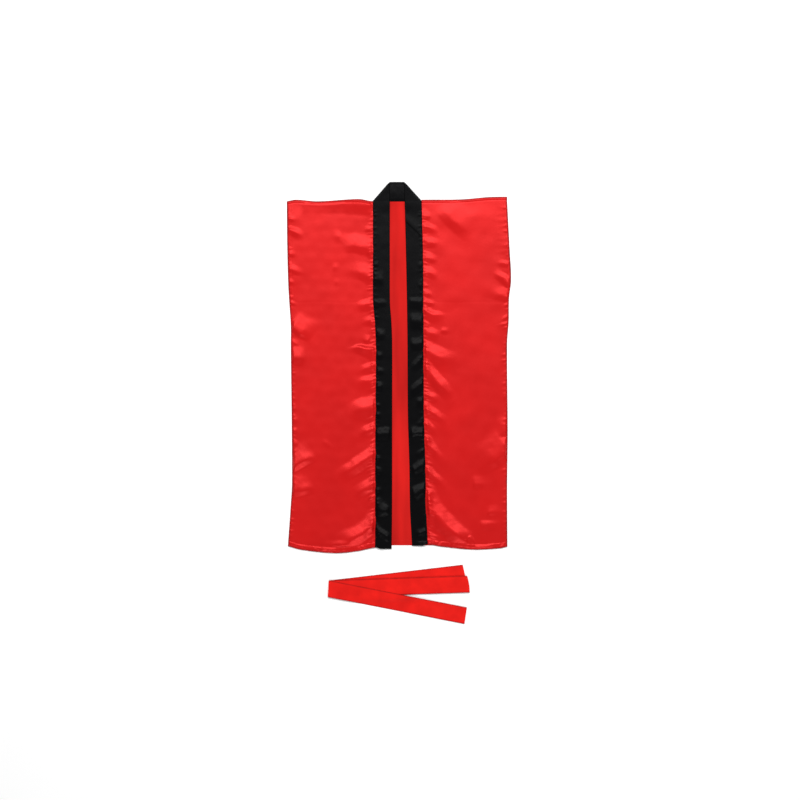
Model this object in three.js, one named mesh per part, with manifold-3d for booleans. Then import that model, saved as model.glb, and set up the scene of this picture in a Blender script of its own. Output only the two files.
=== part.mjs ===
// A sleeveless happi coat in satin, laid flat on its back with both fronts on top, and its
// belt folded below the hem. Millimetres, +X towards the wearer's left, +Y towards the neck,
// +Z up from the surface that the coat lies on. The wearer's right is the -X side.
//
// The pieces are placed on a pattern: "across" is measured from the centre line and "down"
// from the shoulder line. The finished group is then moved so that its origin is in the
// middle of the outline, on the surface.
import * as THREE from 'three';
import { mergeVertices } from 'three/addons/utils/BufferGeometryUtils.js';
import Module from 'manifold-3d';

const wasm = await Module();
wasm.setup();

// Cloth
const wall = 1;             // one ply
const gap = 0.3;            // between pieces that meet
const layer = wall + gap;   // from one ply to the next

// Body of the coat
const backHem = 964;        // shoulder line to the back's hem
const seamAllowance = 10;   // front edge inside the collar
const neckSeam = 2;         // the back's neck edge below the shoulder line
const armhole = 260;        // open part of each side, below the shoulder
const shoulderSteps = 7;    // columns on each side of the back's neck edge
const neckCorner = 7;       // the neck edge meets the shoulder over this width
const backRows = 16;
const frontColumns = 15;
const frontRows = 48;
const crowding = 1.35;      // a front's columns stand closer together towards the collar

// Collar
const collarHigh = 3.6;     // a collar stretch over the seam allowance
const collarLow = 2.3;      // and at its folded edge
const seamBand = 12;        // width of the thick part
const slotStart = 16;       // the front edges enter the collar from here down
const neckRise = 53;        // the collar behind the neck, above the shoulder line
const neckTopRight = -23.8; // ends of its folded top edge
const neckTopLeft = 17.9;
const tabLength = 9;        // the back's neck edge inside the collar
const tabHalfWidth = 54;
const tabMiddle = -3;       // across
const tabRampLow = 16;      // the tab leaves the surface here, down from the shoulder line
const tabRampHigh = 3;      // and is one layer up from here
const slotEasing = 0.5;     // a slot is this much longer than the edge in it, at each end
const slotMouth = 4;        // and is cut this far past the seam edge
const slotLead = 12;        // a front's edge goes into its slot over this length
const collarEnd = { right: 974, left: 965.5 };
const collarTip = 4;        // left off the sharp top corner
const collarSteps = 24;     // stations on each front stretch
const neckStations = [18, 12, 7, 2, 0, -8, -18, -30, -42];
const climbFrom = 18;       // a front stretch climbs onto the neck stretch from here
const climbLength = 16;
const swellLength = 24;     // it is thin at the neck and gains its thickness over this length
const thickShare = 0.4;     // the thick part is at most this share of its width

// The side edges of the body, from the centre line.
const sideEdges = [
  { down: 0, right: 310.8, left: 304.9 },
  { down: 120, right: 309.6, left: 311.2 },
  { down: 227, right: 306.9, left: 316.1 },
  { down: 280, right: 304.1, left: 310.5 },
  { down: 347, right: 299.6, left: 309.4 },
  { down: 403, right: 299.6, left: 305.2 },
  { down: 641, right: 296.8, left: 306.6 },
  { down: 787, right: 296.2, left: 305.2 },
  { down: 837, right: 299, left: 305.2 },
  { down: 966, right: 308, left: 305.8 },
];

// The shoulder edge wanders a little about the shoulder line.
const shoulderEdge = [
  { across: -310.8, down: 1.4 },
  { across: -285, down: -3 },
  { across: -225, down: 1.4 },
  { across: -110, down: -5 },
  { across: -70, down: 1 },
  { across: 70, down: -3 },
  { across: 176, down: -4 },
  { across: 253, down: -10.4 },
  { across: 305, down: -11.5 },
];

// The fronts' hems sag lower than the back's.
const frontHem = [
  { across: -308, down: 966.5 },
  { across: -268, down: 977 },
  { across: -175, down: 986 },
  { across: -110, down: 980 },
  { across: -64, down: 970.5 },
  { across: 82, down: 962 },
  { across: 123, down: 968 },
  { across: 210, down: 976 },
  { across: 285, down: 972.5 },
  { across: 306, down: 968 },
];

// Each front stretch of collar: its folded edge and its seam, from the centre line.
const collarEdges = [
  { down: 0, rightFold: 23.1, rightSeam: 70, leftFold: 19, leftSeam: 66.1 },
  { down: 170, rightFold: 23, rightSeam: 70, leftFold: 23, leftSeam: 70.3 },
  { down: 285, rightFold: 22.6, rightSeam: 69.6, leftFold: 25.2, leftSeam: 70.7 },
  { down: 340, rightFold: 18.6, rightSeam: 64.8, leftFold: 26, leftSeam: 71.3 },
  { down: 400, rightFold: 16.5, rightSeam: 61.8, leftFold: 26.8, leftSeam: 71.6 },
  { down: 600, rightFold: 16.5, rightSeam: 63, leftFold: 28, leftSeam: 72.6 },
  { down: 740, rightFold: 16.5, rightSeam: 63.6, leftFold: 31.9, leftSeam: 76.4 },
  { down: 865, rightFold: 16.8, rightSeam: 63.6, leftFold: 33.9, leftSeam: 79 },
  { down: 970, rightFold: 18, rightSeam: 64, leftFold: 40, leftSeam: 84 },
];

// The largest folds of each front. A fold is a soft ridge from one point to another, where
// "reach" is half its width. It is highest near its start and dies away towards its end.
const frontFolds = {
  right: [
    { fromAcross: 80, fromDown: 132, toAcross: 168, toDown: 122, reach: 14, height: 2.4 },
    { fromAcross: 64, fromDown: 402, toAcross: 132, toDown: 412, reach: 13, height: 2.8 },
    { fromAcross: 64, fromDown: 562, toAcross: 150, toDown: 590, reach: 17, height: 3 },
    { fromAcross: 66, fromDown: 690, toAcross: 175, toDown: 772, reach: 14, height: 4.6 },
    { fromAcross: 66, fromDown: 775, toAcross: 130, toDown: 818, reach: 12, height: 3.2 },
    { fromAcross: 66, fromDown: 868, toAcross: 180, toDown: 955, reach: 17, height: 5 },
    { fromAcross: 286, fromDown: 600, toAcross: 232, toDown: 735, reach: 38, height: 3 },
  ],
  left: [
    { fromAcross: 112, fromDown: 24, toAcross: 190, toDown: 112, reach: 15, height: 2.2 },
    { fromAcross: 78, fromDown: 415, toAcross: 156, toDown: 456, reach: 15, height: 3.6 },
    { fromAcross: 78, fromDown: 466, toAcross: 156, toDown: 560, reach: 12, height: 4 },
    { fromAcross: 78, fromDown: 574, toAcross: 132, toDown: 616, reach: 11, height: 2.6 },
    { fromAcross: 80, fromDown: 672, toAcross: 128, toDown: 724, reach: 11, height: 2.4 },
    { fromAcross: 84, fromDown: 822, toAcross: 204, toDown: 950, reach: 18, height: 5.6 },
    { fromAcross: 300, fromDown: 250, toAcross: 255, toDown: 196, reach: 14, height: 2 },
  ],
};
const swell = 1.2;          // how far a front stands off the back between its seams
const armholeLift = 1.5;    // and along its open armhole edge
const seamLevel = 9;        // a front stays on the collar's lower ply this far from the seam
const seamSlope = 14;       // and comes down to the back over this width

// The swell and the folds die away over these widths towards each edge.
const calmWidth = { seam: 16, side: 24, shoulder: 40, hem: 36 };

// The armhole's lift starts and ends over these lengths, and reaches this far in.
const openEdge = { end: 40, shoulder: 60, inward: 50 };

// The belt's corners. It starts at the under end, goes to the turn at the right side and
// back three times, and finishes at the top end.
const beltTurn = { high: [-193.5, 1062.3], low: [-196.6, 1109.1] };
const beltUnderEnd = { high: [181.2, 1018.4], low: [191.6, 1064.4] };
const beltMiddleEnd = { high: [200.6, 1049.4], low: [201, 1096.2] };
const beltTopEnd = { high: [192.9, 1137.9], low: [185.9, 1184.4] };
const cornerRounding = 7;   // the middle turn is drawn in at its upper corner
const beltSteps = 9;        // stations on each stretch
const turnSteps = 6;        // and round each turn
const hiddenLength = 30;    // of the ply below the middle stretch that belongs to it
const middleSetback = 3;    // the middle stretch stops short of the first turn
const topSteps = 22;        // stations on the top stretch
const topColumns = 6;       // and cells across it
const topLevel = 6;         // it is level for this length, as the turn below it is
const stepClearance = 10;   // it starts down this far past the edge of the middle stretch
const stepSlope = 14;       // and reaches the surface over this width

const redSatin = { color: 0xc81e1c, roughness: 0.38, metalness: 0 };
const blackSatin = { color: 0x0b0a0c, roughness: 0.42, metalness: 0 };
const beltRed = { color: 0xd22018, roughness: 0.5, metalness: 0 };

// ---- numbers from the tables

const clamp01 = (t) => Math.min(1, Math.max(0, t));
const mix = (a, b, t) => a + (b - a) * t;
const ease = (t) => clamp01(t) ** 2 * (3 - 2 * clamp01(t));

// A column of a table, read between its rows on a smooth curve.
function read(table, place, column, at) {
  const last = table.length - 1;
  if (at <= table[0][place]) return table[0][column];
  if (at >= table[last][place]) return table[last][column];
  const i = table.findIndex((row, k) => at <= table[k + 1][place]);
  const slope = (k) => {
    const before = table[Math.max(k - 1, 0)];
    const after = table[Math.min(k + 1, last)];
    return (after[column] - before[column]) / (after[place] - before[place]);
  };
  const length = table[i + 1][place] - table[i][place];
  const t = (at - table[i][place]) / length;
  const straight = mix(table[i][column], table[i + 1][column], ease(t));
  return straight + length * t * (1 - t) * ((1 - t) * slope(i) - t * slope(i + 1));
}

const signOf = { right: -1, left: 1 };
const sideEdge = (side, down) => read(sideEdges, 'down', side, down);
const seamEdge = (side, down) => read(collarEdges, 'down', side + 'Seam', down);
const foldEdge = (side, down) => read(collarEdges, 'down', side + 'Fold', down);
const shoulderDown = (across) => read(shoulderEdge, 'across', 'down', across);
const hemDown = (across) => read(frontHem, 'across', 'down', across);

const at = (across, down, height) => new THREE.Vector3(across, -down, height);

// The two faces of a ply that lies level at a place.
const ply = (across, down, height) => [at(across, down, height), at(across, down, height + wall)];

// ---- closed solids

function solidOf(points, index) {
  const geometry = new THREE.BufferGeometry();
  geometry.setAttribute('position', new THREE.Float32BufferAttribute(points.flatMap((p) => [p.x, p.y, p.z]), 3));
  geometry.setIndex(index);
  return facingOut(geometry);
}

// Turns every face over if the solid came out inside out.
function facingOut(geometry) {
  const p = geometry.attributes.position;
  const index = geometry.index.array;
  const [a, b, c] = [new THREE.Vector3(), new THREE.Vector3(), new THREE.Vector3()];
  let volume = 0;
  for (let i = 0; i < index.length; i += 3) {
    a.fromBufferAttribute(p, index[i]);
    b.fromBufferAttribute(p, index[i + 1]);
    c.fromBufferAttribute(p, index[i + 2]);
    volume += a.dot(b.cross(c));
  }
  if (volume < 0) geometry.setIndex(Array.from(index).reverse());
  geometry.computeVertexNormals();
  return geometry;
}

// A wall of cloth on a grid. faces(i, j) gives the two points of one place in the grid, one
// on each face of the wall.
function clothWall(columns, rows, faces) {
  const grid = [];
  for (let j = 0; j <= rows; j++) {
    for (let i = 0; i <= columns; i++) grid.push(faces(i, j));
  }
  const points = [...grid.map((pair) => pair[0]), ...grid.map((pair) => pair[1])];
  const n = columns + 1;
  const top = n * (rows + 1);
  const index = [];
  const quad = (a, b, c, d) => index.push(a, b, c, a, c, d);
  for (let j = 0; j < rows; j++) {
    for (let i = 0; i < columns; i++) {
      const k = j * n + i;
      quad(k, k + n, k + n + 1, k + 1);
      quad(top + k, top + k + 1, top + k + n + 1, top + k + n);
    }
  }
  const rim = [];
  for (let i = 0; i < columns; i++) rim.push(i);
  for (let j = 0; j < rows; j++) rim.push(j * n + columns);
  for (let i = columns; i > 0; i--) rim.push(rows * n + i);
  for (let j = rows; j > 0; j--) rim.push(j * n);
  rim.forEach((k, i) => {
    const next = rim[(i + 1) % rim.length];
    quad(k, next, top + next, top + k);
  });
  return solidOf(points, index);
}

// A solid through a row of convex sections that have the same number of points.
function loft(sections) {
  const n = sections[0].length;
  const index = [];
  for (let j = 0; j + 1 < sections.length; j++) {
    for (let i = 0; i < n; i++) {
      const a = j * n + i;
      const b = j * n + (i + 1) % n;
      index.push(a, b, b + n, a, b + n, a + n);
    }
  }
  const end = (sections.length - 1) * n;
  for (let i = 1; i + 1 < n; i++) {
    index.push(0, i + 1, i, end, end + i, end + i + 1);
  }
  return solidOf(sections.flat(), index);
}

function toManifold(geometry) {
  const bare = geometry.clone();
  bare.deleteAttribute('normal');
  const merged = mergeVertices(bare);
  const mesh = new wasm.Mesh({
    numProp: 3,
    vertProperties: new Float32Array(merged.attributes.position.array),
    triVerts: new Uint32Array(merged.index.array),
  });
  mesh.merge();
  return new wasm.Manifold(mesh);
}

function fromManifold(solid) {
  const mesh = solid.getMesh();
  const geometry = new THREE.BufferGeometry();
  geometry.setAttribute('position', new THREE.BufferAttribute(mesh.vertProperties, 3));
  geometry.setIndex(new THREE.BufferAttribute(mesh.triVerts, 1));
  geometry.computeVertexNormals();
  return geometry;
}

const cut = (solid, hollow) => fromManifold(toManifold(solid).subtract(toManifold(hollow)));
const join = (solid, other) => fromManifold(toManifold(solid).add(toManifold(other)));

// ---- back

// The body's outline cut from one width of cloth, with a tab at the neck that goes up into
// the collar.
function backPanel() {
  const neckRight = -(seamEdge('right', 0) + 1);
  const neckLeft = seamEdge('left', 0) + 1;
  const cornerRight = neckRight - neckCorner;
  const cornerLeft = neckLeft + neckCorner;
  const shares = Array.from({ length: shoulderSteps }, (_, k) => k / shoulderSteps);
  const columnsAt = (level) => [
    ...shares.map((t) => mix(-sideEdge('right', level), cornerRight, t)),
    cornerRight, neckRight, mix(neckRight, neckLeft, 0.5), neckLeft, cornerLeft,
    ...shares.map((t) => mix(sideEdge('left', level), cornerLeft, t)).reverse(),
  ];
  const columns = columnsAt(0).length - 1;
  const panel = clothWall(columns, backRows, (i, j) => {
    const across = columnsAt(mix(backHem, 0, j / backRows))[i];
    const inNeck = across > neckRight - gap && across < neckLeft + gap;
    return ply(across, mix(backHem, inNeck ? neckSeam : shoulderDown(across), j / backRows), 0);
  });
  const ramp = [
    { down: tabRampLow, height: 0 },
    { down: tabRampHigh, height: layer },
    { down: neckSeam - tabLength, height: layer },
  ];
  const tab = loft(ramp.map(({ down, height }) => [
    at(tabMiddle - tabHalfWidth, down, height),
    at(tabMiddle + tabHalfWidth, down, height),
    at(tabMiddle + tabHalfWidth, down, height + wall),
    at(tabMiddle - tabHalfWidth, down, height + wall),
  ]));
  return join(panel, tab);
}

// ---- fronts

// How high one fold lifts the cloth at a point.
function foldHeight(fold, across, down) {
  const run = new THREE.Vector2(fold.toAcross - fold.fromAcross, fold.toDown - fold.fromDown);
  const here = new THREE.Vector2(across - fold.fromAcross, down - fold.fromDown);
  const length = run.length();
  const t = here.dot(run) / (length * length);
  const aside = here.cross(run) / length;
  const beyond = Math.max(0, -t, t - 1) * length;
  const fade = 1 - 0.75 * ease(t);
  return fold.height * fade * Math.exp(-((aside / fold.reach) ** 2) - (beyond / fold.reach) ** 2);
}

// The height of a front's underside. It lies on the back, rises over the collar's lower ply
// at its seam, and comes down at its hem, its shoulder and its side seam.
function frontHeight(side, across, down) {
  const reach = Math.abs(across);
  const fromSeam = reach - seamEdge(side, down);
  const fromSide = sideEdge(side, down) - reach;
  const fromShoulder = down - shoulderDown(across);
  const fromHem = hemDown(across) - down;
  const inSlot = ease((down - slotStart + slotLead) / slotLead);
  const overCollar = layer * (1 - ease((fromSeam - seamLevel) / seamSlope)) * inSlot;
  const calm = ease((fromSeam - seamLevel) / calmWidth.seam) * ease(fromSide / calmWidth.side)
    * ease(fromShoulder / calmWidth.shoulder) * ease(fromHem / calmWidth.hem);
  const open = armholeLift * ease((armhole - down) / openEdge.end)
    * ease(fromShoulder / openEdge.shoulder) * (1 - ease(fromSide / openEdge.inward));
  const folds = frontFolds[side].reduce((sum, fold) => sum + foldHeight(fold, reach, down), 0);
  return layer + overCollar + open + calm * (swell + folds);
}

function frontPanel(side) {
  const sign = signOf[side];
  return clothWall(frontColumns, frontRows, (i, j) => {
    const outward = ((sign > 0 ? i : frontColumns - i) / frontColumns) ** crowding;
    const level = mix(backHem, 0, j / frontRows);
    const inserted = mix(-2 * gap, seamAllowance, ease((level - slotStart - slotMouth) / slotLead));
    const inner = seamEdge(side, level) - inserted;
    const across = sign * mix(inner, sideEdge(side, level), outward);
    const down = mix(hemDown(across), shoulderDown(across), j / frontRows);
    return ply(across, down, frontHeight(side, across, down));
  });
}

// ---- collar

// Above the shoulder line each front stretch is cut off by the fold to the neck stretch.
function neckFold(side, down) {
  const top = side === 'right' ? -neckTopRight : neckTopLeft;
  return mix(seamEdge(side, 0), top, clamp01(-down / neckRise));
}

// The folded edge of a front stretch runs on to the end of the neck stretch's top edge.
function frontFold(side, down) {
  const top = Math.abs(side === 'right' ? neckTopRight : neckTopLeft) - 1;
  return down < 0 ? mix(foldEdge(side, 0), top, -down / neckRise) : foldEdge(side, down);
}

// A front stretch rests on the back, and near the neck it climbs onto the neck stretch.
function collarUnderside(down) {
  const onNeck = ease((climbFrom - down) / climbLength);
  const neckHeight = mix(collarLow, collarHigh, ease((down + neckRise) / (neckRise - seamBand)));
  return mix(layer, neckHeight + 1.5 * gap, onNeck);
}

function collarFront(side) {
  const sign = signOf[side];
  const levels = [];
  for (let k = 0; k <= collarSteps; k++) levels.push(mix(collarEnd[side], swellLength, k / collarSteps));
  levels.push(...neckStations, collarTip - neckRise);
  const body = loft(levels.map((down) => {
    const seam = down < 0 ? neckFold(side, down) : seamEdge(side, down);
    const fold = frontFold(side, down);
    const low = collarUnderside(down);
    const thick = mix(collarLow - gap, collarHigh, ease((down + collarTip) / swellLength));
    const shoulder = Math.min(seamBand, (seam - fold) * thickShare);
    return [
      at(sign * seam, down, low),
      at(sign * fold, down, low),
      at(sign * fold, down, low + Math.min(collarLow, thick)),
      at(sign * (seam - shoulder), down, low + thick),
      at(sign * seam, down, low + thick),
    ];
  }));
  // The slot for the front's edge, open on the seam side.
  const slotDepth = seamAllowance + 2 * slotEasing;
  const slotEnd = hemDown(sign * seamEdge(side, collarEnd[side])) + gap;
  const slotLevels = [];
  for (let k = 0; k <= collarSteps; k++) slotLevels.push(mix(slotEnd, slotStart - slotMouth, k / collarSteps));
  const slot = loft(slotLevels.map((down) => {
    const seam = seamEdge(side, down);
    const low = layer + wall;
    return [
      at(sign * (seam + slotMouth), down, low),
      at(sign * (seam - slotDepth), down, low),
      at(sign * (seam - slotDepth), down, low + wall + 2 * gap),
      at(sign * (seam + slotMouth), down, low + wall + 2 * gap),
    ];
  }));
  return cut(body, slot);
}

// The stretch behind the neck lies on the surface, with the back's tab inside it.
function collarNeck() {
  const levels = [neckSeam - gap, -seamBand, -neckRise];
  const body = loft(levels.map((down) => {
    const thick = down < -seamBand ? collarLow : collarHigh;
    const right = -neckFold('right', down) + gap;
    const left = neckFold('left', down) - gap;
    return [at(right, down, 0), at(left, down, 0), at(left, down, thick), at(right, down, thick)];
  }));
  const halfSlot = tabHalfWidth + slotEasing;
  const slot = loft([neckSeam + slotMouth, neckSeam - tabLength - gap].map((down) => [
    at(tabMiddle - halfSlot, down, wall),
    at(tabMiddle + halfSlot, down, wall),
    at(tabMiddle + halfSlot, down, wall + layer + gap),
    at(tabMiddle - halfSlot, down, wall + layer + gap),
  ]));
  return cut(body, slot);
}

// ---- belt

const pointOn = (a, b, t) => [mix(a[0], b[0], t), mix(a[1], b[1], t)];

const edgeBetween = (a, b, t) => ({ high: pointOn(a.high, b.high, t), low: pointOn(a.low, b.low, t) });

const moved = (edge, by) => ({
  high: [edge.high[0] + by, edge.high[1]],
  low: [edge.low[0] + by, edge.low[1]],
});

// The belt is followed row by row from its under end. Plies are counted from 0 at the
// bottom, and a row takes t from its upper edge, 0, to its lower edge, 1. The face that is
// below on one ply is above on the next, because the belt turns over between them.
function plyRow(edge, count, height = () => count * layer) {
  return (t) => {
    const [across, down] = pointOn(edge.high, edge.low, t);
    const faces = ply(across, down, height(across, down));
    return count % 2 ? faces.reverse() : faces;
  };
}

function plyRows(from, to, count, steps, height) {
  const rows = [];
  for (let k = 0; k <= steps; k++) rows.push(plyRow(edgeBetween(from, to, k / steps), count, height));
  return rows;
}

// Half a turn from one ply up to the next, between the rows that it joins.
function turnRows(edge, outward, count) {
  const axis = count * layer + wall + gap / 2;
  const radii = count % 2 ? [gap / 2, gap / 2 + wall] : [gap / 2 + wall, gap / 2];
  const rows = [];
  for (let k = 1; k < turnSteps; k++) {
    const angle = Math.PI * (k / turnSteps);
    rows.push((t) => {
      const [across, down] = pointOn(edge.high, edge.low, t);
      return radii.map((r) => at(across + outward * r * Math.sin(angle), down, axis - r * Math.cos(angle)));
    });
  }
  return rows;
}

const beltWall = (rows, columns = 1) => clothWall(columns, rows.length - 1, (i, j) => rows[j](i / columns));

const firstTurn = moved(beltTurn, wall);
const hiddenSplit = moved(beltMiddleEnd, -hiddenLength);

// The under end, the first turn, and the hidden ply below the middle stretch.
function beltUnder() {
  return beltWall([
    ...plyRows(beltUnderEnd, firstTurn, 0, beltSteps),
    ...turnRows(firstTurn, -1, 0),
    ...plyRows(firstTurn, hiddenSplit, 1, beltSteps),
  ]);
}

// The middle stretch comes back over the hidden ply from its own turn.
function beltMiddle() {
  const turn = moved(beltMiddleEnd, -layer);
  turn.high[0] -= cornerRounding;
  return beltWall([
    ...plyRows(moved(hiddenSplit, gap), turn, 1, 2),
    ...turnRows(turn, 1, 1),
    ...plyRows(turn, moved(beltTurn, middleSetback), 2, beltSteps),
  ]);
}

// The top stretch leaves the stack at the first turn, crosses the edge of the middle stretch
// and comes down to the surface.
function beltTop() {
  const middleEdge = (across) => {
    const t = (across - beltTurn.low[0]) / (beltMiddleEnd.low[0] - beltTurn.low[0]);
    return mix(beltTurn.low[1], beltMiddleEnd.low[1], t);
  };
  const height = (across, down) => 3 * layer
    * (1 - ease((down - middleEdge(across) - stepClearance) / stepSlope));
  const level = moved(firstTurn, topLevel);
  return beltWall([
    ...turnRows(firstTurn, -1, 2),
    ...plyRows(firstTurn, level, 3, 1),
    ...plyRows(level, beltTopEnd, 3, topSteps, height).slice(1),
  ], topColumns);
}

// ---- the garment

const pieces = [
  ['back_panel', backPanel(), redSatin],
  ['front_right', frontPanel('right'), redSatin],
  ['front_left', frontPanel('left'), redSatin],
  ['collar_neck', collarNeck(), blackSatin],
  ['collar_right', collarFront('right'), blackSatin],
  ['collar_left', collarFront('left'), blackSatin],
  ['belt_under', beltUnder(), beltRed],
  ['belt_middle', beltMiddle(), beltRed],
  ['belt_top', beltTop(), beltRed],
];

const garment = new THREE.Group();
for (const [name, geometry, finish] of pieces) {
  const piece = new THREE.Mesh(geometry, new THREE.MeshStandardMaterial(finish));
  piece.name = name;
  garment.add(piece);
}

const outline = new THREE.Box3().setFromObject(garment);
const middle = outline.getCenter(new THREE.Vector3());
garment.position.set(-middle.x, -middle.y, -outline.min.z);

const group = new THREE.Group();
group.add(garment);

export default group;
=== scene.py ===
import math
import bpy
import numpy as np
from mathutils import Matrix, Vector


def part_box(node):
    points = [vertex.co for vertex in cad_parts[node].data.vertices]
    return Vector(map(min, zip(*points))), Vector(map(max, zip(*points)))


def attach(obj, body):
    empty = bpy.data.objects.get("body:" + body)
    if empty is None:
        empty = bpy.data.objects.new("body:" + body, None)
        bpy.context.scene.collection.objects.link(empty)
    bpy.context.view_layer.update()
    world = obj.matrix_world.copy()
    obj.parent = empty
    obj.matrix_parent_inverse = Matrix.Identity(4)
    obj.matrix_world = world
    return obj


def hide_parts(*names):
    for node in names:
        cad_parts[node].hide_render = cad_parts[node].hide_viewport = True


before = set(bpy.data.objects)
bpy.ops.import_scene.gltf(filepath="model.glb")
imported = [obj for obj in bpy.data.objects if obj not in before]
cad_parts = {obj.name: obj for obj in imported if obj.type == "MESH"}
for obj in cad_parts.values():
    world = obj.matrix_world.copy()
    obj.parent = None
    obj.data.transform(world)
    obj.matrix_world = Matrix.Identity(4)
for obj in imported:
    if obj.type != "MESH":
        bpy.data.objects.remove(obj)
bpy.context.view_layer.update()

mm = 0.001
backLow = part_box("back_panel")[0]
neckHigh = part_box("collar_neck")[1]

# Patterns are in millimetres: "across" from the coat's centre line, "down" from its shoulder line.
coat = {
    "backHem": 964,     # shoulder line to the back's hem
    "neckRise": 53,     # collar behind the neck, above the shoulder line
    "neckTop": {"right": 23.8, "left": 17.9},
    "widestRight": 310.8,  # centre line to the right side edge
    "armhole": 260,
    "ply": 0.6,         # cloth thickness that shows
    "layer": 1.3,       # from one ply to the next
    "hem": 15,
    "sideHem": 11,
}
centreX = backLow.x + coat["widestRight"] * mm
shoulderY = neckHigh.y - coat["neckRise"] * mm
sides = ("right", "left")
sign = {"right": -1, "left": 1}

sideTable = {
    "down": (0, 120, 227, 280, 347, 403, 641, 787, 837, 966),
    "right": (310.8, 309.6, 306.9, 304.1, 299.6, 299.6, 296.8, 296.2, 299, 308),
    "left": (304.9, 311.2, 316.1, 310.5, 309.4, 305.2, 306.6, 305.2, 305.2, 305.8),
}
shoulderTable = {
    "across": (-310.8, -285, -225, -110, -70, 70, 176, 253, 305),
    "down": (1.4, -3, 1.4, -5, 1, -3, -4, -10.4, -11.5),
}
hemTable = {
    "across": (-308, -268, -175, -110, -64, 82, 123, 210, 285, 306),
    "down": (966.5, 977, 986, 980, 970.5, 962, 968, 976, 972.5, 968),
}
collarTable = {
    "down": (0, 170, 285, 340, 400, 600, 740, 865, 970),
    "rightFold": (23.1, 23, 22.6, 18.6, 16.5, 16.5, 16.5, 16.8, 18),
    "rightSeam": (70, 70, 69.6, 64.8, 61.8, 63, 63.6, 63.6, 64),
    "leftFold": (19, 23, 25.2, 26, 26.8, 28, 31.9, 33.9, 40),
    "leftSeam": (66.1, 70.3, 70.7, 71.3, 71.6, 72.6, 76.4, 79, 84),
}


def clamp(t):
    return np.clip(t, 0.0, 1.0)


def ease(t):
    t = clamp(t)
    return t * t * (3 - 2 * t)


def mix(a, b, t):
    return a + (b - a) * t


def readCurve(table, place, column, at):
    # a smooth curve through a short table
    xs = np.array(table[place], float)
    ys = np.array(table[column], float)
    last = len(xs) - 1
    before = np.maximum(np.arange(last + 1) - 1, 0)
    after = np.minimum(np.arange(last + 1) + 1, last)
    slopes = (ys[after] - ys[before]) / (xs[after] - xs[before])
    at = np.clip(at, xs[0], xs[-1])
    i = np.clip(np.searchsorted(xs, at, side="right") - 1, 0, last - 1)
    length = xs[i + 1] - xs[i]
    t = (at - xs[i]) / length
    straight = mix(ys[i], ys[i + 1], ease(t))
    return straight + length * t * (1 - t) * ((1 - t) * slopes[i] - t * slopes[i + 1])


def sideEdge(side, down):
    return readCurve(sideTable, "down", side, down)


def seamEdge(side, down):
    return readCurve(collarTable, "down", side + "Seam", down)


def foldEdge(side, down):
    return readCurve(collarTable, "down", side + "Fold", down)


def shoulderDown(across):
    return readCurve(shoulderTable, "across", "down", across)


def hemDown(across):
    return readCurve(hemTable, "across", "down", across)


def spaced(stops):
    # places from the first stop to the last; each stop is (place, step there)
    places = [stops[0][0]]
    at = np.array([s[0] for s in stops], float)
    steps = np.array([s[1] for s in stops], float)
    while places[-1] < stops[-1][0]:
        places.append(places[-1] + np.interp(places[-1], at, steps))
    places = np.array(places)
    return stops[0][0] + (places - places[0]) * (stops[-1][0] - stops[0][0]) / (places[-1] - places[0])


def wander(x, y, size, seed, octaves=3):
    # a smooth random height field, about -1 to 1, made of seeded waves
    rng = np.random.default_rng(seed)
    total = np.zeros(np.broadcast(x, y).shape)
    weight = 0.0
    for octave in range(octaves):
        for _ in range(5):
            angle = rng.uniform(0, math.tau)
            turn = rng.uniform(0, math.tau)
            stretch = rng.uniform(0.7, 1.4)
            k = math.tau / (size * stretch / 2 ** octave)
            part = np.sin(k * (x * math.cos(angle) + y * math.sin(angle)) + turn)
            total += part * 0.6 ** octave
            weight += 0.5 * 0.6 ** octave
    return total / weight


def linked(name, data):
    # an object in the scene, at the origin
    obj = bpy.data.objects.new(name, data)
    bpy.context.scene.collection.objects.link(obj)
    return obj


def meshObject(name, points, faces, materials, faceMaterials=None, sharp=55):
    mesh = bpy.data.meshes.new(name)
    mesh.from_pydata(points.tolist(), [], faces.tolist())
    for material in materials:
        mesh.materials.append(material)
    if faceMaterials is not None:
        mesh.polygons.foreach_set("material_index", faceMaterials)
    mesh.shade_smooth()
    mesh.set_sharp_from_angle(angle=math.radians(sharp))
    mesh.update()
    return linked(name, mesh)


def toWorld(across, down, height):
    return np.stack([centreX + across * mm, shoulderY - down * mm, height * mm], axis=-1)


def gridNormals(grid):
    normal = np.cross(np.gradient(grid, axis=0), np.gradient(grid, axis=1))
    return normal / np.maximum(np.linalg.norm(normal, axis=-1, keepdims=True), 1e-12)


def offSurface(grid, amount):
    # the grid moved along its own normals, up
    normal = gridNormals(grid)
    flip = np.where(normal[..., 2:3] < 0, -1.0, 1.0)
    return grid + normal * flip * amount


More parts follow.
